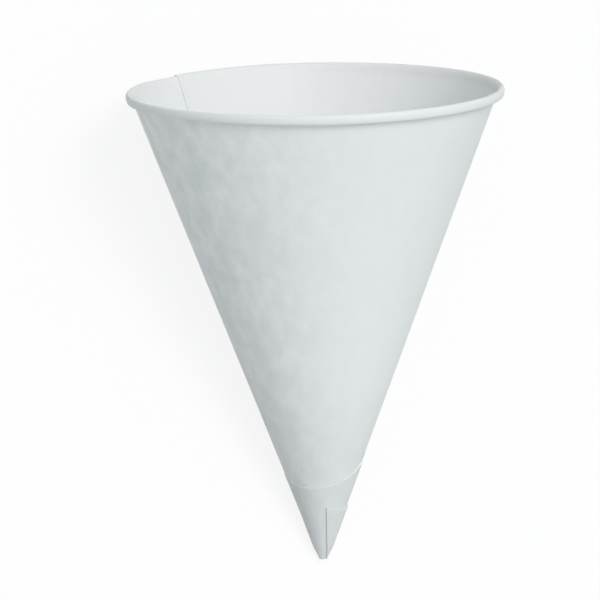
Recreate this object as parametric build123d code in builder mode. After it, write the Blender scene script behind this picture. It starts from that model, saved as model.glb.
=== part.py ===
# Cone paper cup: one paper blank, wound into a cone, tucked round its tip and rolled over at the rim.
# It lies on its side as it comes to rest, with its heaviest side down: its roll and its tip touch
# the floor, z = 0, and the mouth points along +Y. The origin is below the middle of the cup.
import os
from math import acos, asin, atan, atan2, cos, degrees, hypot, radians, sin, tan

from build123d import *

# Driving dimensions, in millimetres
rim_diameter = 73.0        # over the rolled rim
height = 93.5              # along the axis, from the blunt tip to the top of the roll
paper = 0.28               # one thickness of the waxed paper
roll_diameter = 2.2        # the rolled rim, seen end on
roll_outset = 0.29         # centre of the roll, outside the line of the wall
roll_turns = 1.9           # how often the paper goes round in the roll, which leaves it hollow
roll_flats = 16            # the roll is drawn with this many narrow flats, which keeps its facets few
tip_cut = 1.6              # the blunt tip stops this far above the point of the cone
nose_radius = 0.6          # flat end of the pressed tip
nose_bevel = 0.35          # the bevel round that end
knee = 3.0                 # below this height all layers are pressed together into the tip

# The blank, as it is wound: angles go round the cup from its front, + to the right of it with the
# mouth up, and lengths are measured on the flat blank from the point of the cone
seam_angle = -130.0        # the first edge of the blank, seen inside the cup
cut_distance = 18.5        # the straight cut that ends the wall passes this far from the point
tail_width = 13.3          # the tail is cut off this far from the point, square to that cut
tail_angle = 13.0          # free edge of the tail, the last that is wound on

# How it lies
heavy_angle = -155.0       # the lap makes this side the heaviest, so it comes to rest on it
flat_depth = 0.42          # the soft roll is pressed flat this deep where it lies

# Worked out from the driving dimensions
roll_radius = roll_diameter / 2
roll_centre = rim_diameter / 2 - roll_radius
roll_height = tip_cut + height - roll_radius
half_angle = atan((roll_centre - roll_outset) / roll_height)
slope = tan(half_angle)
pitch = paper / cos(half_angle)             # what one layer of paper adds to the radius

hollow_radius = roll_radius - roll_turns * paper
wall_top = roll_height - 1.02 * hollow_radius       # the wall ends inside the paper of the roll

# The cup leans on the flat spot of the roll and on the lowest layer of the tail
knee_radius = knee * slope + 2 * pitch
lean_run = roll_height - knee
lean_rise = roll_centre - knee_radius
tilt = atan2(lean_rise, lean_run) + asin((roll_radius - flat_depth) / hypot(lean_run, lean_rise))
point_z = knee_radius * cos(tilt) - knee * sin(tilt)
front_y = roll_height * cos(tilt) + roll_centre * sin(tilt) + roll_radius
back_y = tip_cut * cos(tilt) - nose_radius * sin(tilt)
point_y = -(front_y + back_y) / 2

point = Vector(0, point_y, point_z)         # the point of the cone, below the blunt tip
upward = Vector(0, cos(tilt), sin(tilt))    # the axis of the cup, from its tip to its mouth
lower_side = Vector(0, sin(tilt), -cos(tilt))

# The winding starts at the seam inside the cup and goes round towards smaller angles.
# The corner between the straight cut and the end of the tail comes to lie on the seam.
start_angle = seam_angle + 720
corner_angle = seam_angle
tail_end = tail_angle - 360
cut_angle = corner_angle + degrees(atan(tail_width / cut_distance)) / sin(half_angle)

# A cutter reaches this far past the paper on every side
cut_margin = 2.0
cut_top = wall_top / cos(half_angle) + cut_margin
cut_start = cut_angle + degrees(acos(cut_distance / cut_top)) / sin(half_angle)
overrun = 1.0
last_arc = (start_angle - tail_end) % 180


def outward(angle):
    """The direction straight out from the axis, at an angle round the cup."""
    turn = radians(angle - heavy_angle)
    return lower_side * cos(turn) - Vector(1, 0, 0) * sin(turn)


def section_plane(angle, centre=point):
    """The plane of a section through the axis: x is the radius and y the height."""
    across = outward(angle)
    return Plane(origin=centre, x_dir=across, z_dir=across.cross(upward))


def beside_wall(reach, offset):
    """A point of the section, this far up the wall from the point of the cone and this far outside it."""
    return (reach * sin(half_angle) + offset, reach * cos(half_angle))


def cut_reach(angle):
    """How far up the wall the straight cut of the blank lies, at an angle round the cup."""
    return cut_distance / cos(radians(angle - cut_angle) * sin(half_angle))


def end_reach(angle):
    """How far up the wall the end of the tail lies, at an angle round the cup."""
    return tail_width / sin(radians(cut_angle - angle) * sin(half_angle))


def wind(half_turn, arc=180):
    """Add half a turn of paper. Odd half turns have their axis half a thickness to one side,
    so that the layers form one spiral and each ends on the one before it."""
    offset = half_turn * pitch / 2
    centre = point + outward(seam_angle) * (half_turn % 2) * pitch / 2
    with BuildSketch(section_plane(start_angle - 180 * half_turn, centre)) as section:
        with BuildLine():
            Polyline(
                (knee * slope + offset - pitch, knee),
                (knee * slope + offset, knee),
                (wall_top * slope + offset, wall_top),
                (wall_top * slope + offset - pitch, wall_top),
                close=True,
            )
        make_face()
    return revolve(section.sketch, axis=Axis(centre, upward), revolution_arc=-arc, mode=Mode.PRIVATE)


def above_cut(reach_at, first, last, steps):
    """All that lies further up the wall than a cut, on both sides of the paper."""
    sections = []
    for step in range(steps + 1):
        angle = first + (last - first) * step / steps
        reach = reach_at(angle)
        with BuildSketch(section_plane(angle)) as section:
            with BuildLine():
                Polyline(
                    beside_wall(reach, -cut_margin),
                    beside_wall(reach, cut_margin),
                    beside_wall(cut_top + cut_margin, cut_margin),
                    beside_wall(cut_top + cut_margin, -cut_margin),
                    close=True,
                )
            make_face()
        sections.append(section.sketch)
    return loft(sections, mode=Mode.PRIVATE)


# The second layer: the lap, and the tail below the straight cut
with BuildPart() as tail:
    add(wind(2))
    add(wind(3))
    add(above_cut(cut_reach, cut_start, corner_angle, 20), mode=Mode.SUBTRACT)

# The third layer: the end of the tail, wound on to its free edge
with BuildPart() as tail_tab:
    add(wind(4))
    add(wind(5, arc=last_arc))
    add(above_cut(end_reach, corner_angle + overrun, tail_end - overrun, 14), mode=Mode.SUBTRACT)

# The rim, rolled outwards until it meets the wall again, with the flat spot it lies on
with BuildPart() as rim:
    with BuildSketch(section_plane(0)):
        with Locations((roll_centre, roll_height)):
            RegularPolygon(roll_radius, roll_flats)
            RegularPolygon(hollow_radius, roll_flats, mode=Mode.SUBTRACT)
    revolve(axis=Axis(point, upward))
    split(bisect_by=Plane.XY, keep=Keep.TOP)

with BuildPart() as cone_cup:
    # The first layer, one full turn
    add(wind(0))
    add(wind(1))
    add(tail.part)
    add(tail_tab.part)
    add(rim.part)

    # The tip, pressed shut
    with BuildSketch(section_plane(0)):
        with BuildLine():
            Polyline(
                (0, tip_cut),
                (nose_radius, tip_cut),
                (nose_radius + nose_bevel, tip_cut + nose_bevel),
                (knee * slope, knee),
                (0, knee),
                close=True,
            )
        make_face()
    revolve(axis=Axis(point, upward))

cone_cup.part.label = "cone_cup"

os.makedirs("parts", exist_ok=True)
export_step(cone_cup.part, "parts/cone_cup.step")
print(f"paper {cone_cup.part.volume / 1000:.2f} cm3, tilt {degrees(tilt):.4f}, half angle {degrees(half_angle):.4f}", point)
print(cone_cup.part.is_valid, len(cone_cup.part.solids()), cone_cup.part.bounding_box())
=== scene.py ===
# %% [markdown]
# # A cone paper cup
#
# The cup is one piece of paper, wound into a cone and rolled over at the rim. The part's solid
# already stands in the scene, with the right size and weight. A paper cup gets its look from thin
# edges, a lap and a soft roll, so this lesson winds the same paper again as a fine mesh.

# %% Load the frame
from math import acos, asin, atan, atan2, cos, degrees, exp, hypot, pi, radians, sin, tan

import bpy
import bmesh
from mathutils import Matrix, Vector


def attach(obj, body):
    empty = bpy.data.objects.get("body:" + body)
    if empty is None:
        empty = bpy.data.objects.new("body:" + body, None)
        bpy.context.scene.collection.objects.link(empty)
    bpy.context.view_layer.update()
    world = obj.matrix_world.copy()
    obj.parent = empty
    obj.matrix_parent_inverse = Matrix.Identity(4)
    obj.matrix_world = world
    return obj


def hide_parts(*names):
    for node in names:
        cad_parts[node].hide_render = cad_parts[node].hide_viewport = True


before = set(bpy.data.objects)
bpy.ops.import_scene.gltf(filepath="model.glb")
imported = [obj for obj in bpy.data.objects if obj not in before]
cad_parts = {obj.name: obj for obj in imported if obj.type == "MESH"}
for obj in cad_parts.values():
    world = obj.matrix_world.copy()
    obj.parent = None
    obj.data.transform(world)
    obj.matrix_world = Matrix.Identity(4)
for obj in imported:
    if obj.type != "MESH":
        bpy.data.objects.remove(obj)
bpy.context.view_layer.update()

# %% [markdown]
# ## The sizes of the cup
#
# All sizes are in millimetres, as on a drawing, and turn into metres when the mesh is made. They
# are the values that the solid was made from, so both cups lie in the same place.

# %% Sizes
MM = 0.001

rim_diameter = 73.0        # over the rolled rim
height = 93.5              # from the blunt tip to the top of the roll
paper = 0.28               # one thickness of the waxed paper
roll_radius = 1.1          # of the full roll
roll_outset = 0.29         # centre of the roll, outside the line of the wall
tip_cut = 1.6              # the blunt tip stops this far above the point of the cone
nose_radius = 0.6          # flat end of the blunt tip
knee = 3.0                 # the cup leans on the layers at this height
heavy_angle = -155.0       # the lap makes this side the heaviest, so it lies on the floor
flat_depth = 0.42          # how deep the roll is pressed flat there

roll_centre = rim_diameter / 2 - roll_radius
roll_top = tip_cut + height
roll_height = roll_top - roll_radius
half_angle = atan((roll_centre - roll_outset) / roll_height)
slope = tan(half_angle)
pitch = paper / cos(half_angle)        # what one layer of paper adds to the radius
print(f"half angle of the cone {degrees(half_angle):.2f} degrees")

# %% [markdown]
# ## How the cup lies
#
# A cone on its side touches the floor with its rim and near its tip, so its axis rises towards
# the mouth. The rest of the lesson needs three things: the direction up the axis, the direction
# straight out from it at any angle, and the point where the cone would end. Angles go round the
# cup from its front, and grow to the right when the mouth is up.

# %% Place of the cup
knee_radius = knee * slope + 2 * pitch
lean_run = roll_height - knee
lean_rise = roll_centre - knee_radius
tilt = atan2(lean_rise, lean_run) + asin((roll_radius - flat_depth) / hypot(lean_run, lean_rise))
point_z = knee_radius * cos(tilt) - knee * sin(tilt)
front_y = roll_height * cos(tilt) + roll_centre * sin(tilt) + roll_radius
back_y = tip_cut * cos(tilt) - nose_radius * sin(tilt)

point = Vector((0, -(front_y + back_y) / 2, point_z))
upward = Vector((0, cos(tilt), sin(tilt)))
lower_side = Vector((0, sin(tilt), -cos(tilt)))


def outward(angle):
    """The direction straight out from the axis, at an angle round the cup."""
    turn = radians(angle - heavy_angle)
    return lower_side * cos(turn) - Vector((1, 0, 0)) * sin(turn)


print(f"the axis rises {degrees(tilt):.2f} degrees")

# %% [markdown]
# ## The camera
#
# The camera comes first, because every look at the cup goes through it. It faces the front of
# the cup from a little above the rim, so that the mouth is a narrow oval. A long lens from
# far away keeps the sides of the cone as straight as in a drawing.

# %% Camera
PICTURE = 600                       # the picture is this many pixels wide and high
SENSOR = 36.0                       # width of the camera's sensor
CLIP_START, CLIP_END = 0.01, 10     # it sees nothing nearer or further, in metres
aim_height = 53.729                 # of the aim, along the axis
camera_distance = 700.0
camera_elevation = radians(11.489)  # above the plane of the rim
camera_roll = radians(-1.007)
lens_pixels = 3613.5                # focal length, in pixels
aim_right, aim_down = 318.057, 298.667      # where the aim lies in the picture

aim = point + upward * aim_height
back = outward(0) * cos(camera_elevation) + upward * sin(camera_elevation)
level = outward(90)
steep = back.cross(level)
across = level * cos(camera_roll) + steep * sin(camera_roll)
above = steep * cos(camera_roll) - level * sin(camera_roll)

# Turned so that its middle is the middle of the picture
view_back = back
view_back = view_back - across * (PICTURE / 2 - aim_right) / lens_pixels
view_back = view_back + above * (PICTURE / 2 - aim_down) / lens_pixels
view_back.normalize()
view_right = (across - view_back * across.dot(view_back)).normalized()
view_up = view_back.cross(view_right)

camera_data = bpy.data.cameras.new("camera")
camera_data.sensor_width = SENSOR
camera_data.lens = lens_pixels * SENSOR / PICTURE
camera_data.clip_start = CLIP_START
camera_data.clip_end = CLIP_END
camera = bpy.data.objects.new("camera", camera_data)
bpy.context.scene.collection.objects.link(camera)
turned = Matrix((view_right, view_up, view_back)).transposed().to_4x4()
camera.matrix_world = Matrix.Translation((aim + back * camera_distance) * MM) @ turned
bpy.context.scene.camera = camera
print("camera at", [round(x, 4) for x in camera.matrix_world.translation])

# %% [markdown]
# ## How the paper winds
#
# A cone cup starts as a flat blank, cut like a fan with a tail. A machine winds it round a
# pointed form: once round for the wall, a little further for the lap, and then only the tail
# goes on round the tip, which closes it. A cone from the menu has no layers and no edges, so
# here every point of the sheet gets its place from two numbers: how far round it is wound, and
# how far up the wall it lies.
#
# The wound angle starts at 590 degrees, the free edge that is seen inside the cup, and falls to
# about -348 at the last edge of the tail. Two straight cuts end the paper above the tail. Sizes
# that change along the sheet are given by how far the paper has gone round since its first edge.
# A pair of numbers there says where a change starts and where it is complete.

# %% Winding
seam = 590.0               # the first edge, at -130 degrees on the cup
cut_distance = 18.75       # the straight cut passes this far from the point of the cone
cut_foot = -27.0           # and comes nearest to it at this angle
tail_width = 13.0          # the tail is cut off this far from the point, square to that cut
edge_distance = 0.70       # its last edge passes this far beside the point
edge_turn = -358.0         # and points this way
corner = cut_foot - degrees(atan(tail_width / cut_distance)) / sin(half_angle)

STEP_UP = 14               # the paper starts to climb over its first edge this many degrees early
TIGHTENS = (595, 645)      # on the left the tail is pulled tight over the wall
LOOSENS = (700, 718)       # and before the seam it is loose again
TIGHT_ABOVE = (3.5, 12)    # this far up the wall, because the very tip is squeezed anyway
TIGHT = 0.65               # how much of its thickness the tight tail loses


def smooth(x, start, end):
    """0 before start, 1 after end, and an even S between them."""
    t = min(max((x - start) / (end - start), 0.0), 1.0)
    return t * t * (3 - 2 * t)


def layer_shift(gone_round):
    """How far the layers below push the paper out, after it has gone round by this angle."""
    turns, rest = divmod(gone_round, 360)
    return pitch * (turns + smooth(rest, 360 - STEP_UP, 360))


def layer_thickness(gone_round, reach):
    """The tail is pressed thin on the left, where it is pulled tight over the wall."""
    pressed = smooth(gone_round, *TIGHTENS) * (1 - smooth(gone_round, *LOOSENS))
    return pitch * (1 - TIGHT * (pressed * smooth(reach, *TIGHT_ABOVE)))


def cut_reach(wound):
    """How far up the wall the paper goes, below the two cuts."""
    if wound >= corner:
        return cut_distance / cos(radians(wound - cut_foot) * sin(half_angle))
    return tail_width / sin(radians(cut_foot - wound) * sin(half_angle))


def last_edge(reach):
    """Where the last edge lies, a straight cut as well."""
    return edge_turn + degrees(asin(edge_distance / reach)) / sin(half_angle)


print(f"the tail reaches {cut_reach(corner):.1f} mm up the wall at its corner")

# %% [markdown]
# ## The rolled rim
#
# The machine curls the top of the wall outwards until the paper meets the wall again and turns
# in on itself. In section it is a small spiral, higher than wide, and its inside goes on from
# the wall without a bulge. A torus would show neither the step at the seam nor that the roll is
# lower on the left, so the spiral is drawn point by point and follows the paper: it gets lower
# before the seam, and there it dives below the first edge. The roll is hollow and soft, so all
# of it sinks a little, most at the back.

# %% Shape of the roll
UPPER = 1.38               # half height of the roll, above its middle
LOWER = 0.86               # and below it
LOWER_LEFT = 0.42          # the same on the left
LOWER_LEAST = 0.3          # and where it is least
HALF_WIDTH = 0.775
NARROWER = 0.10            # half width that it loses on the left, and once more where it dives
LEFT = (222, 262)          # where it gets the shape that it has on the left
DIVES = (336, 358)         # here it dives below the first edge
LOW_SIDE = 0.22            # how much lower the rim lies at the back on the left
SIDE_SINKS = (262, 330)    # where it gets there
SIDE_RISES = (5, 40)       # and where it comes up again, on the other side of the seam
SOFT = 0.09                # how much the soft roll sinks
SOFT_BACK = 0.09           # and how much more at the back
BACK = 50                  # the back, by how far the paper has gone round


def roll_shape(gone_round):
    """Half width, upper half height and lower half height of the roll."""
    left = smooth(gone_round, *LEFT)
    dive = smooth(gone_round, *DIVES)
    half_width = HALF_WIDTH - NARROWER * left
    lower = LOWER + (LOWER_LEFT - LOWER) * left
    lower = max(lower - pitch * dive, LOWER_LEAST)
    return half_width - NARROWER * dive, UPPER - pitch * dive, lower


def roll_top_at(gone_round):
    """The height of the rim: it sinks a little at the back and on the left."""
    if gone_round > 180:
        sag = LOW_SIDE * smooth(gone_round, *SIDE_SINKS)
    else:
        sag = LOW_SIDE * (1 - smooth(gone_round, *SIDE_RISES))
    sag += SOFT + SOFT_BACK * (1 + cos(radians(gone_round - BACK))) / 2
    return roll_top - sag - pitch * smooth(gone_round, *DIVES)


def roll_middle(gone_round):
    """The middle of the roll, as distance from the axis and height. It lies half a width off
    the wall."""
    half_width, upper, _ = roll_shape(gone_round)
    rise = roll_top_at(gone_round) - hypot(half_width * sin(half_angle), upper * cos(half_angle))
    wall = rise * slope - pitch + layer_shift(gone_round)
    return wall + half_width / cos(half_angle), rise


for gone_round in (0, 140, 230, 300, 340, 359):
    out, rise = roll_middle(gone_round)
    print(f"at {gone_round} the middle of the roll lies {out:.2f} mm out and {rise:.2f} mm up")

# %% [markdown]
# The wall ends at the crease where the paper starts to roll. The straight cut runs into this
# crease at the end of the lap, so the two together say how wide the lap is.

# %% Width of the lap
NEAR_LAP_END = 390         # the lap ends near here, by how far the paper has gone round


def crease_reach(gone_round):
    """How far up the wall the paper starts to roll."""
    half_width, _, _ = roll_shape(gone_round)
    _, rise = roll_middle(gone_round)
    return (rise + half_width * sin(half_angle)) / cos(half_angle)


cut_turn = degrees(acos(cut_distance / crease_reach(NEAR_LAP_END)))
lap_end = cut_foot + cut_turn / sin(half_angle)
print(f"the roll starts {crease_reach(0):.1f} mm up the wall")
print(f"the lap is {seam - 360 - lap_end:.1f} degrees wide at the rim")

# %% [markdown]
# The paper runs round the roll more than once. After the first turn it tucks in between the roll
# and the wall, which leaves the fine dark line below the rim. The underside of the roll leans to
# the wall there, least on the left. Where the lap is, the second layer rolls inside the first
# one, so there the first one tucks in a little sooner and ends sooner.

# %% Points of the roll
ROLL_STEPS = 44
ROLL_START = 94            # the paper starts round the roll in this direction
ROLL_END = 560             # and ends in this one
LAP_SHORTER = 190          # the roll ends this much sooner at the lap
DIVE_SHORTER = 180         # this much sooner where it dives below the first edge
SEAM_SHORTER = 110         # and that much sooner still beyond the first edge
LAP_ENDS = (31, 39)        # the first layer leaves the lap here
DIVE_SHORTENS = (335, 357)
SEAM_SHORTENS = (358, 368)
TUCKS = (-8, 30)           # the paper tucks in between these directions, after a full turn
LAP_TUCKS = (-12, -24)     # and at the lap it does so this much sooner
TUCK_DEPTH = 1.04          # how many thicknesses of paper it tucks in
LEAN = 0.60                # how far the underside leans to the wall, in half widths
LEAN_LOSS = 0.50           # what it loses of that on the left
LEAN_FADES = (190, 290)    # between here and there
HOLLOW = 0.05              # half height that the inside of the roll keeps


def roll_point(gone_round, turn, inset):
    """A point of the section, from its direction round the roll and its depth below the
    surface."""
    half_width, upper, lower = roll_shape(gone_round)
    out, rise = roll_middle(gone_round)
    half_height = upper if cos(turn) < 0 else lower
    leaning = (LEAN - LEAN_LOSS * smooth(gone_round, *LEAN_FADES)) * max(cos(turn), 0.0) ** 2
    x = -(sin(turn) + leaning) * (half_width - inset)
    y = -cos(turn) * max(half_height - inset, HOLLOW)
    out = out + x * cos(half_angle) + y * sin(half_angle)
    rise = rise - x * sin(half_angle) + y * cos(half_angle)
    return out, rise


def roll_points(gone_round):
    """Both faces of the paper on its way round the roll."""
    on_lap = 1 - smooth(gone_round, *LAP_ENDS)
    first = radians(ROLL_START)
    last = ROLL_END - LAP_SHORTER * on_lap
    last -= DIVE_SHORTER * smooth(gone_round, *DIVE_SHORTENS)
    last -= SEAM_SHORTER * smooth(gone_round, *SEAM_SHORTENS)
    last = radians(last)
    tuck, tucked = (
        2 * pi + radians(turn + sooner * on_lap) for turn, sooner in zip(TUCKS, LAP_TUCKS)
    )
    faces = []
    for step in range(ROLL_STEPS + 1):
        turn = first + (last - first) * step / ROLL_STEPS
        inset = TUCK_DEPTH * paper * smooth(turn, tuck, tucked)
        inner = roll_point(gone_round, turn, inset)
        outer = roll_point(gone_round, turn, inset + paper)
        faces.append((inner, outer))
    return faces


print(len(roll_points(0)), "points on each face of the paper, round the roll")

# %% [markdown]
# ## The wall and the tail
#
# A column of points runs up the sheet at one wound angle. Near the tip the layers are squeezed
# together. Stiff paper is never quite round, so low waves run over the wall. They have two,
# three and seven crests, each twisted along the wall, so that no rhythm shows. Along its cut
# edges the paper lifts a little from the layer below.

# %% Points of the wall
TIP_REACH = tip_cut / cos(half_angle)
WALL_STEPS = 28
ROW_GROWTH = 1.6           # above 1, so that the rows lie closer near the tip
TOP_ZONE = 4.0             # above this much of the wall, the rows lie closer as well
SQUEEZED = (1.3, 4.6)      # below the second of these heights the layers are squeezed
SQUEEZE = 0.22             # how much smaller the radius gets
SQUEEZE_SHARE = 0.08       # and how much of the rest it loses
WAVE_HEIGHT = 0.035        # of the wave with two crests
WAVE_SHARE = {3: 0.6, 7: 0.35}              # of the others, by their number of crests
WAVE_TWIST = {2: 0.055, 3: 0.07, 7: 0.11}   # how far they turn, per millimetre up the wall
WAVE_TURN = 0.6            # where the wave with two crests starts
WAVES_START = (6, 30)      # the waves begin this far up the wall
WAVES_END = (88, 98)       # and end at the rim
LIP = 1.2                  # an edge lifts over about this width
CUT_LIFT = 0.05            # and by this much along the straight cut
CUT_LIFTS = (0, 20)        # it starts this many degrees past the lap
CUT_LIES = (-60, -10)      # and ends between these wound angles
TAIL_LIFT = 0.03           # the end of the tail lifts by this much
LAST_LIFT = 0.02           # and the last edge by this much
FOLD = 0.03                # height of the faint ridge inside, where the paper starts to roll
FOLD_WIDTH = 0.35
ROLLED = lap_end - 0.01    # above this wound angle the paper goes on into the roll


def squeeze(radius, rise):
    """Press the layers together at the tip, until the hole in the middle is shut."""
    press = 1 - smooth(rise, *SQUEEZED)
    return (radius - SQUEEZE * press) * (1 - SQUEEZE_SHARE * press)


def wave(angle, reach):
    """How far the wall stands out of the true cone."""
    a = radians(angle)
    fade = smooth(reach, *WAVES_START) * (1 - smooth(reach, *WAVES_END))
    slow = sin(2 * a + WAVE_TURN) * sin(reach * WAVE_TWIST[2])
    slow += WAVE_SHARE[3] * sin(3 * a - reach * WAVE_TWIST[3])
    return WAVE_HEIGHT * fade * (slow + WAVE_SHARE[7] * sin(7 * a + reach * WAVE_TWIST[7]))


def edge_lift(wound, reach, top):
    """How far the paper lifts along the cuts above the tail and along its last edge."""
    if wound > ROLLED:
        return 0.0
    if wound >= corner:
        high = CUT_LIFT * smooth(lap_end - wound, *CUT_LIFTS) * smooth(wound, *CUT_LIES)
        return high * exp(-(top - reach) / LIP)
    lift = TAIL_LIFT * exp(-(top - reach) / LIP)
    beside = radians(wound - last_edge(reach)) * reach * sin(half_angle)
    return max(lift, LAST_LIFT * exp(-max(beside, 0.0) / LIP))


def wall_point(wound, reach, top):
    """The inner and the outer face of the paper at one point of the wall."""
    rise = reach * cos(half_angle)
    inner = reach * sin(half_angle) - pitch + layer_shift(seam - wound)
    inner += wave(wound, reach) + edge_lift(wound, reach, top)
    if wound > ROLLED:
        inner -= FOLD * exp(-((top - reach) / FOLD_WIDTH) ** 2)
    outer = inner + layer_thickness(seam - wound, reach)
    return (squeeze(inner, rise), rise), (squeeze(outer, rise), rise)


def rows_up(top, margins):
    """How far up the wall the rows of a column lie. The last ones lie these margins below the
    top."""
    span = top - TOP_ZONE - TIP_REACH
    low = [TIP_REACH + span * (step / WALL_STEPS) ** ROW_GROWTH for step in range(WALL_STEPS + 1)]
    return low + [top - margin for margin in margins]


wave_heights = [wave(angle, reach) for angle in range(360) for reach in range(100)]
print(f"the waves stand {max(wave_heights):.3f} mm out and {-min(wave_heights):.3f} mm in")

# %% [markdown]
# Two kinds of column make the sheet. The tall ones go up into the roll. The short ones end at a
# cut, and the last of them lean over with the last edge of the tail. Both kinds have the same
# number of rows on the wall, so that one grid holds them all.

# %% Columns
TALL_MARGINS = [2.6, 1.5, 0.7, 0.3, 0.12]
SHORT_MARGINS = [2.6, 1.5, 0.7, 0.3, 0.1, 0.0]
TRIES = 4                  # for the top of a column that leans


def tall_column(wound):
    """A column that goes up the wall, round the crease and into the roll."""
    gone_round = seam - wound
    top = crease_reach(gone_round)
    rows = rows_up(top, TALL_MARGINS)
    column = [(wound, wall_point(wound, reach, top)) for reach in rows]
    roll = roll_points(gone_round)
    below, beyond = column[-1][1], roll[0]
    crease = wall_point(wound, top, top)
    bend = tuple(
        tuple((below[face][k] + 2 * crease[face][k] + beyond[face][k]) / 4 for k in (0, 1))
        for face in (0, 1)
    )
    return column + [(wound, faces) for faces in [bend] + roll]


def short_column(wound, part=0.0):
    """A column that ends at a cut. With part, it lies this part of the way from the wound angle
    to the last edge, so it leans, and the height of its top is tried a few times."""
    def wound_at(reach):
        return wound + (last_edge(reach) - wound) * part if part else wound

    top = cut_distance
    for _ in range(TRIES):
        top = cut_reach(wound_at(top))
    rows = rows_up(top, SHORT_MARGINS)
    return [(wound_at(reach), wall_point(wound_at(reach), reach, top)) for reach in rows]


print("rows in a short column", len(short_column(corner)))

# %% All the columns
TALL_STEP = 2.0            # degrees from one tall column to the next
FINE_STEP = 1.25           # the same for the first short ones, where the cut is steep
FINE_TURN = 30             # they go this far round
SHORT_STEP = 2.5           # and the same for the rest
LEANING = 88               # the columns that lean divide the end of the tail by this
LAST_PARTS = [0.984, 0.990, 0.996, 1.0]     # and these lie closer, along the last edge

tall_count = round((seam - lap_end) / TALL_STEP)
columns = [tall_column(seam + (lap_end - seam) * i / tall_count) for i in range(tall_count + 1)]

after = lap_end
for step, end in ((FINE_STEP, lap_end - FINE_TURN), (SHORT_STEP, corner)):
    count = round((after - end) / step)
    columns += [short_column(after + (end - after) * i / count) for i in range(1, count + 1)]
    after = end
parts = [i / LEANING for i in range(1, LEANING - 1)] + LAST_PARTS
columns += [short_column(corner, part) for part in parts]
print(len(columns), "columns,", tall_count + 1, "of them into the roll")

# %% [markdown]
# ## From points to a sheet with a thickness
#
# Solidify could give the sheet its thickness, but it would push the layers into each other at
# the tip. Both faces are known already, so they are joined directly: one grid for the outer
# face, one for the inner face, and a narrow band along every free edge. The bands on the cuts
# come last, because they get another finish. The roll touches the floor a little below its
# surface, so points under the floor are raised to it, which presses the small flat spot into it.

# %% Sheet
FLAT_PAPER = 0.12          # the paper keeps this thickness where the floor presses it flat


def on_cup(wound, out, rise, lowest=0.0):
    """A point of the cup in metres, kept above the floor."""
    place = point + outward(wound) * out + upward * rise
    place.z = max(place.z, lowest)
    return place * MM


def sheet_mesh():
    """The points and faces of the sheet, the number of its first face on a cut, and its points
    on the outer face."""
    vertices, inner, outer = [], {}, {}
    wall_rows = len(columns[-1])
    for c, column in enumerate(columns):
        for r, (wound, faces) in enumerate(column):
            for side, (out, rise) in zip((inner, outer), faces):
                side[c, r] = len(vertices)
                lowest = FLAT_PAPER if r >= wall_rows and side is outer else 0.0
                vertices.append(on_cup(wound, out, rise, lowest))

    quads = []
    for c in range(len(columns) - 1):
        for r in range(min(len(columns[c]), len(columns[c + 1])) - 1):
            quads.append([(c, r), (c, r + 1), (c + 1, r + 1), (c + 1, r)])
    faces = [[outer[p] for p in quad] for quad in quads]
    faces += [[inner[p] for p in reversed(quad)] for quad in quads]

    # An edge that no other quad has, the other way round, is a free edge. It is on a cut if it
    # leads from column to column and not along the bottom row.
    edges = {edge: True for quad in quads for edge in zip(quad, quad[1:] + quad[:1])}
    free = [(a, b) for a, b in edges if (b, a) not in edges]
    cuts = [(a, b) for a, b in free if a[0] != b[0] and a[1] > 0]
    others = [(a, b) for a, b in free if a[0] == b[0] or a[1] == 0]
    faces += [[outer[b], outer[a], inner[a], inner[b]] for a, b in others]
    first_cut = len(faces)
    faces += [[outer[b], outer[a], inner[a], inner[b]] for a, b in cuts]
    return vertices, faces, first_cut, set(outer.values())


vertices, faces, first_cut, outer_points = sheet_mesh()
last_cut = len(faces)
print(len(vertices), "points and", len(faces), "faces,", last_cut - first_cut, "on the cuts")

# %% [markdown]
# The very point of the cone is folded in and pressed shut. A short plug of paper, hidden between
# the layers, closes it here.

# %% Folded point
PLUG_SIDES = 20
PLUG_RINGS = [(0.01, 1.70), (0.2, 1.68), (0.45, 2.4), (0.80, 3.2), (0.01, 3.3)]    # radius, height

first = len(vertices)
for out, rise in PLUG_RINGS:
    for side in range(PLUG_SIDES):
        vertices.append(on_cup(360 * side / PLUG_SIDES, out, rise))
for ring in range(len(PLUG_RINGS) - 1):
    start = first + ring * PLUG_SIDES
    for side in range(PLUG_SIDES):
        a, b = start + side, start + (side + 1) % PLUG_SIDES
        faces.append([a, b, b + PLUG_SIDES, a + PLUG_SIDES])
last_ring = first + (len(PLUG_RINGS) - 1) * PLUG_SIDES
faces.append([first + side for side in reversed(range(PLUG_SIDES))])
faces.append([last_ring + side for side in range(PLUG_SIDES)])
print("points in the plug:", len(vertices) - first)

# %% [markdown]
# The mesh is checked once it is made: a closed sheet has no open edge and a volume above zero,
# and that volume is the paper in the cup. The outer face of the paper is marked, for the finish.

# %% Mesh of the cup
cup_mesh = bpy.data.meshes.new("cup_paper")
cup_mesh.from_pydata(vertices, [], faces)
worked = bmesh.new()
worked.from_mesh(cup_mesh)
if worked.calc_volume(signed=True) < 0:
    bmesh.ops.reverse_faces(worked, faces=worked.faces)
print("loose or open edges:", sum(not edge.is_manifold for edge in worked.edges))
print(f"paper in the cup: {worked.calc_volume(signed=True) * 1e6:.2f} cm3")
worked.to_mesh(cup_mesh)
worked.free()

outside = cup_mesh.attributes.new("outside", "FLOAT", "POINT")
is_outside = [float(number in outer_points) for number in range(len(cup_mesh.vertices))]
outside.data.foreach_set("value", is_outside)

# %% [markdown]
# Smooth shading hides the grid on the curved wall. At the cut edges the angle between the faces
# is large, and there the shading stays sharp, so that each layer of paper shows its edge.

# %% Cup
SHARP = 35                 # faces that meet at a larger angle than this keep a sharp edge

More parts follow.
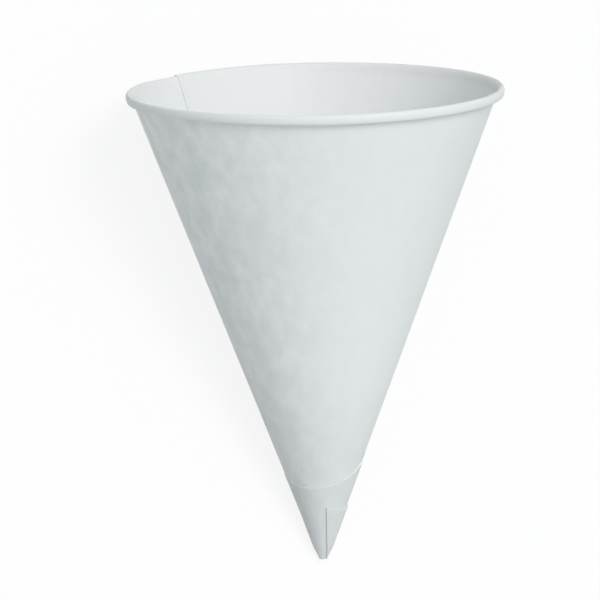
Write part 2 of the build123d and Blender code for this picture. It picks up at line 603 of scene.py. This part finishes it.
cup_mesh.polygons.foreach_set("use_smooth", [True] * len(cup_mesh.polygons))
cup_mesh.set_sharp_from_angle(angle=radians(SHARP))
cup = bpy.data.objects.new("cup_paper", cup_mesh)
bpy.context.scene.collection.objects.link(cup)
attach(cup, "root")
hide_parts("cone_cup")

# %% [markdown]
# ## The finish of the paper
#
# Cup paper is white with a cool tint, and coated thinly with wax, so it is matt with a faint
# sheen. It isn't quite opaque: light goes a fraction of a millimetre into it and comes out
# beside where it went in, which softens every shade. Subsurface on the shader does that, and a
# plain white shader looks like plaster next to it.

# %% Paper
def node(tree, kind, place, *ordered, operation=None, **named):
    """Add a node and fill its inputs, in order or by name, with an underscore for each space.
    An input gets a value, or the output of another node that it is linked to."""
    made = tree.nodes.new(kind)
    made.location = place
    if operation:
        made.operation = operation
    filled = list(zip(made.inputs, ordered))
    filled += [(made.inputs[name.replace("_", " ")], value) for name, value in named.items()]
    for socket, value in filled:
        if isinstance(value, bpy.types.NodeSocket):
            tree.links.new(value, socket)
        else:
            socket.default_value = value
    return made


def shader_of(finish, **values):
    """Switch the nodes of a material on and set its shader."""
    finish.use_nodes = True
    surface = finish.node_tree.nodes["Principled BSDF"]
    for name, value in values.items():
        surface.inputs[name.replace("_", " ")].default_value = value
    return finish.node_tree, surface


waxed = bpy.data.materials.new("waxed_paper")
tree, surface = shader_of(
    waxed, Roughness=0.55, Specular_IOR_Level=0.35,
    Subsurface_Weight=0.5, Subsurface_Scale=0.0004, Subsurface_Radius=(1, 1, 1),
)
cup_mesh.materials.append(waxed)
print("finish:", cup_mesh.materials[0].name)

# %% [markdown]
# Near to, the paper isn't even. Its fibres lie in clouds of one to three millimetres, drawn out
# up and down the cup, and in a much finer grain. Two noise textures make them. A mapping turns
# them by the tilt of the cup and stretches them, so that the clouds follow its axis.

# %% Clouds and grain
place = node(tree, "ShaderNodeTexCoord", (-1500, 0))
drawn = node(
    tree, "ShaderNodeMapping", (-1300, 0),
    Vector=place.outputs["Object"], Rotation=(tilt, 0, 0), Scale=(1, 1.8, 1),
)
drawn.vector_type = "TEXTURE"
clouds = node(
    tree, "ShaderNodeTexNoise", (-850, 200),
    Vector=drawn.outputs["Vector"], Scale=330.0, Detail=2.5, Roughness=0.55, Distortion=0.1,
)
fibres = node(
    tree, "ShaderNodeTexNoise", (-850, -150),
    Vector=drawn.outputs["Vector"], Scale=2600.0, Detail=2.0, Roughness=0.5, Distortion=0.8,
)
print("textures:", sum(made.bl_idname == "ShaderNodeTexNoise" for made in tree.nodes))

# %% [markdown]
# The clouds differ slightly in colour, the paper's own uneven tone. They show on the outside of
# the cup and not inside, and are painted strongest on its left side, away from the lamp: that part
# is painted shade. Two things together say where: the mark on the outer face, and how far the
# surface faces to the right of the cup. The noise swings about its middle value of 0.5, so the
# swing is multiplied by that share and then put back on the middle.

# %% Colour of the clouds, and painted shade on the left
MIDDLE = 0.5               # of the noise

facing_right = node(
    tree, "ShaderNodeVectorMath", (-1100, 750),
    outward(90), place.outputs["Normal"], operation="DOT_PRODUCT",
)
# Painted shade: the swing of the clouds grows where the surface faces left, away from the lamp.
painted_shade_side = node(
    tree, "ShaderNodeMapRange", (-900, 750),
    Value=facing_right.outputs["Value"], From_Min=-0.8, From_Max=0.2, To_Min=1.0, To_Max=0.12,
)
outer_face = node(tree, "ShaderNodeAttribute", (-900, 1000))
outer_face.attribute_name = "outside"
cloud_and_shade_share = node(
    tree, "ShaderNodeMath", (-700, 800),
    outer_face.outputs["Fac"], painted_shade_side.outputs["Result"], operation="MULTIPLY",
)
swing = node(
    tree, "ShaderNodeMath", (-850, 350), clouds.outputs["Fac"], MIDDLE, operation="SUBTRACT"
)
cloudy = node(
    tree, "ShaderNodeMath", (-650, 350),
    swing.outputs[0], cloud_and_shade_share.outputs[0], MIDDLE, operation="MULTIPLY_ADD",
)
tint = node(tree, "ShaderNodeValToRGB", (-450, 250), cloudy.outputs[0])
# The dark end of the ramp, a bluish grey, is partly the paper's own cloudy tone and partly painted
# shade on the left.
dark_cloud_and_shade, light_cloud = tint.color_ramp.elements
dark_cloud_and_shade.position, light_cloud.position = 0.30, 0.70
dark_cloud_and_shade.color = (0.776, 0.798, 0.806, 1)
light_cloud.color = (0.920, 0.912, 0.912, 1)
for cloud in (dark_cloud_and_shade, light_cloud):
    print("cloud colour", [round(x, 3) for x in cloud.color[:3]])

# %% [markdown]
# Round the tip three layers of paper lie on each other, and less light comes through them than
# through one. The tip would be too bright without that, so painted shade makes the colour a little
# darker from the wall down to the tip.

# %% Painted shade at the tip
DARKEST = 0.85             # what is left of the colour at the point of the cone
DARKENED = 40              # millimetres up the axis from there to the full colour

# Painted shade: the base colour is scaled down from DARKEST at the point of the cone to full
# colour DARKENED mm up the axis.
along = node(
    tree, "ShaderNodeVectorMath", (-850, 500),
    upward, place.outputs["Object"], operation="DOT_PRODUCT",
)
low = point.dot(upward) * MM
painted_tip_shade = node(
    tree, "ShaderNodeMapRange", (-650, 500), Value=along.outputs["Value"],
    From_Min=low, From_Max=low + DARKENED * MM, To_Min=DARKEST, To_Max=1.0,
)
painted_shade_colour = node(
    tree, "ShaderNodeVectorMath", (-200, 300), operation="SCALE",
    Vector=tint.outputs["Color"], Scale=painted_tip_shade.outputs["Result"],
)
tree.links.new(painted_shade_colour.outputs["Vector"], surface.inputs["Base Color"])
print(f"the colour is full {DARKENED} mm above the point of the cone")

# %% [markdown]
# The same clouds make the surface very slightly hilly, and the grain roughens it. Bump is
# enough for both: light from the side shows them, light from the front hides them.

# %% Hills and grain
hills = node(
    tree, "ShaderNodeBump", (-450, -50),
    Strength=0.50, Distance=0.0002, Height=clouds.outputs["Fac"],
)
grain = node(
    tree, "ShaderNodeBump", (-200, -50),
    Strength=0.18, Distance=0.00003, Height=fibres.outputs["Fac"], Normal=hills.outputs["Normal"],
)
tree.links.new(grain.outputs["Normal"], surface.inputs["Normal"])
print("nodes in the paper:", len(tree.nodes))

# %% [markdown]
# A cut edge has no wax on it. Its bare fibres are whiter and dull, and catch the light as a thin
# bright line where the tail ends, so the narrow faces along the cuts get a finish of their own.

# %% Cut edges
bare = bpy.data.materials.new("bare_cut_edge")
shader_of(bare, Base_Color=(0.95, 0.955, 0.955, 1), Roughness=0.9, Specular_IOR_Level=0.2)
cup_mesh.materials.append(bare)
for index in range(first_cut, last_cut):
    cup_mesh.polygons[index].material_index = 1
print("faces along the cuts:", sum(face.material_index == 1 for face in cup_mesh.polygons))

# %% [markdown]
# ## Floor and light
#
# The backdrop is white paper under a soft light. More light would turn the cup white as well,
# so only the camera sees the floor and the room as white: the floor adds a glow that reaches
# the camera alone, and keeps enough of its own shade to show the shadow of the cup.

# %% Floor
FLOOR_SIZE = 6.0           # in metres
CORNERS = ((-1, -1), (1, -1), (1, 1), (-1, 1))

floor_mesh = bpy.data.meshes.new("floor")
floor_points = [(x * FLOOR_SIZE / 2, y * FLOOR_SIZE / 2, 0) for x, y in CORNERS]
floor_mesh.from_pydata(floor_points, [], [(0, 1, 2, 3)])
floor = bpy.data.objects.new("floor", floor_mesh)
bpy.context.scene.collection.objects.link(floor)
print("floor", FLOOR_SIZE, "m wide")

# %% White floor
SHADE = 0.14               # the share of its own shade in what the camera sees


def camera_only(tree, place):
    """1 for what the camera sees, also in a reflection or through glass."""
    x, y = place
    rays = node(tree, "ShaderNodeLightPath", (x - 600, y))
    seen = rays.outputs["Is Camera Ray"]
    for number, name in enumerate(("Is Glossy Ray", "Is Transmission Ray")):
        most = node(
            tree, "ShaderNodeMath", (x - 400 + 180 * number, y),
            seen, rays.outputs[name], operation="MAXIMUM",
        )
        seen = most.outputs[0]
    return seen


floor_finish = bpy.data.materials.new("white_floor")
floor_finish.use_nodes = True
tree = floor_finish.node_tree
tree.nodes.clear()
plain = node(tree, "ShaderNodeBsdfDiffuse", (100, 150), Color=(0.5, 0.5, 0.5, 1))
glow = node(tree, "ShaderNodeEmission", (0, -100), Color=(1, 1, 1, 1), Strength=1.0)
shade = node(tree, "ShaderNodeBsdfDiffuse", (0, -250), Color=(0.9, 0.9, 0.9, 1))
seen = node(tree, "ShaderNodeMixShader", (200, -150), SHADE, glow.outputs[0], shade.outputs[0])
choice = node(
    tree, "ShaderNodeMixShader", (400, 0),
    camera_only(tree, (100, 400)), plain.outputs[0], seen.outputs[0],
)
node(tree, "ShaderNodeOutputMaterial", (600, 0), Surface=choice.outputs[0])
floor_mesh.materials.append(floor_finish)
print("nodes in the floor:", len(tree.nodes))

# %% [markdown]
# The room gives a soft, slightly blue light, which fills the left side of the cup. It is a
# little stronger from the side of the tip than from the side of the mouth, like the light that
# a pale table throws back at a cup that is held above it.

# %% Light of the room
ROOM_LIGHT = 0.61          # from straight beside the cup
ROOM_DIFFERENCE = -0.10    # what is added to it in the direction of the mouth

room = bpy.data.worlds.new("room")
bpy.context.scene.world = room
room.use_nodes = True
tree = room.node_tree
tree.nodes.clear()
direction = node(tree, "ShaderNodeTexCoord", (-600, 100))
to_mouth = node(
    tree, "ShaderNodeVectorMath", (-400, 100),
    upward, direction.outputs["Generated"], operation="DOT_PRODUCT",
)
strength = node(
    tree, "ShaderNodeMath", (-200, 100),
    to_mouth.outputs["Value"], ROOM_DIFFERENCE, ROOM_LIGHT, operation="MULTIPLY_ADD",
)
soft = node(
    tree, "ShaderNodeBackground", (0, 100),
    Color=(0.885, 0.975, 1.0, 1), Strength=strength.outputs[0],
)
white = node(tree, "ShaderNodeBackground", (0, -100), Color=(1, 1, 1, 1), Strength=1.0)
choice = node(
    tree, "ShaderNodeMixShader", (200, 0),
    camera_only(tree, (0, 400)), soft.outputs[0], white.outputs[0],
)
node(tree, "ShaderNodeOutputWorld", (400, 0), Surface=choice.outputs[0])
print("nodes in the room:", len(tree.nodes))

# %% [markdown]
# One large soft lamp stands to the right of the camera and above the mouth. It makes the right
# side the lighter one and reaches into the cup on the left. Its light is a little warm, next to
# the blue of the room.

# %% Lamp
LAMP_TURN = 30             # degrees round the cup, to the right of its front
LAMP_ABOVE = radians(29)   # above the plane of the rim
LAMP_WIDTH = 30            # degrees that the lamp is wide, seen from the cup

lamp_data = bpy.data.lights.new("soft_lamp", "SUN")
lamp_data.energy = 1.52
lamp_data.angle = radians(LAMP_WIDTH)
lamp_data.color = (1.0, 0.96, 0.94)
lamp = bpy.data.objects.new("soft_lamp", lamp_data)
bpy.context.scene.collection.objects.link(lamp)
to_lamp = outward(LAMP_TURN) * cos(LAMP_ABOVE) + upward * sin(LAMP_ABOVE)
lamp.rotation_mode = "QUATERNION"
lamp.rotation_quaternion = to_lamp.to_track_quat("Z", "Y")
bpy.context.scene.view_settings.view_transform = "Standard"
print("the lamp shines from", [round(x, 2) for x in to_lamp])
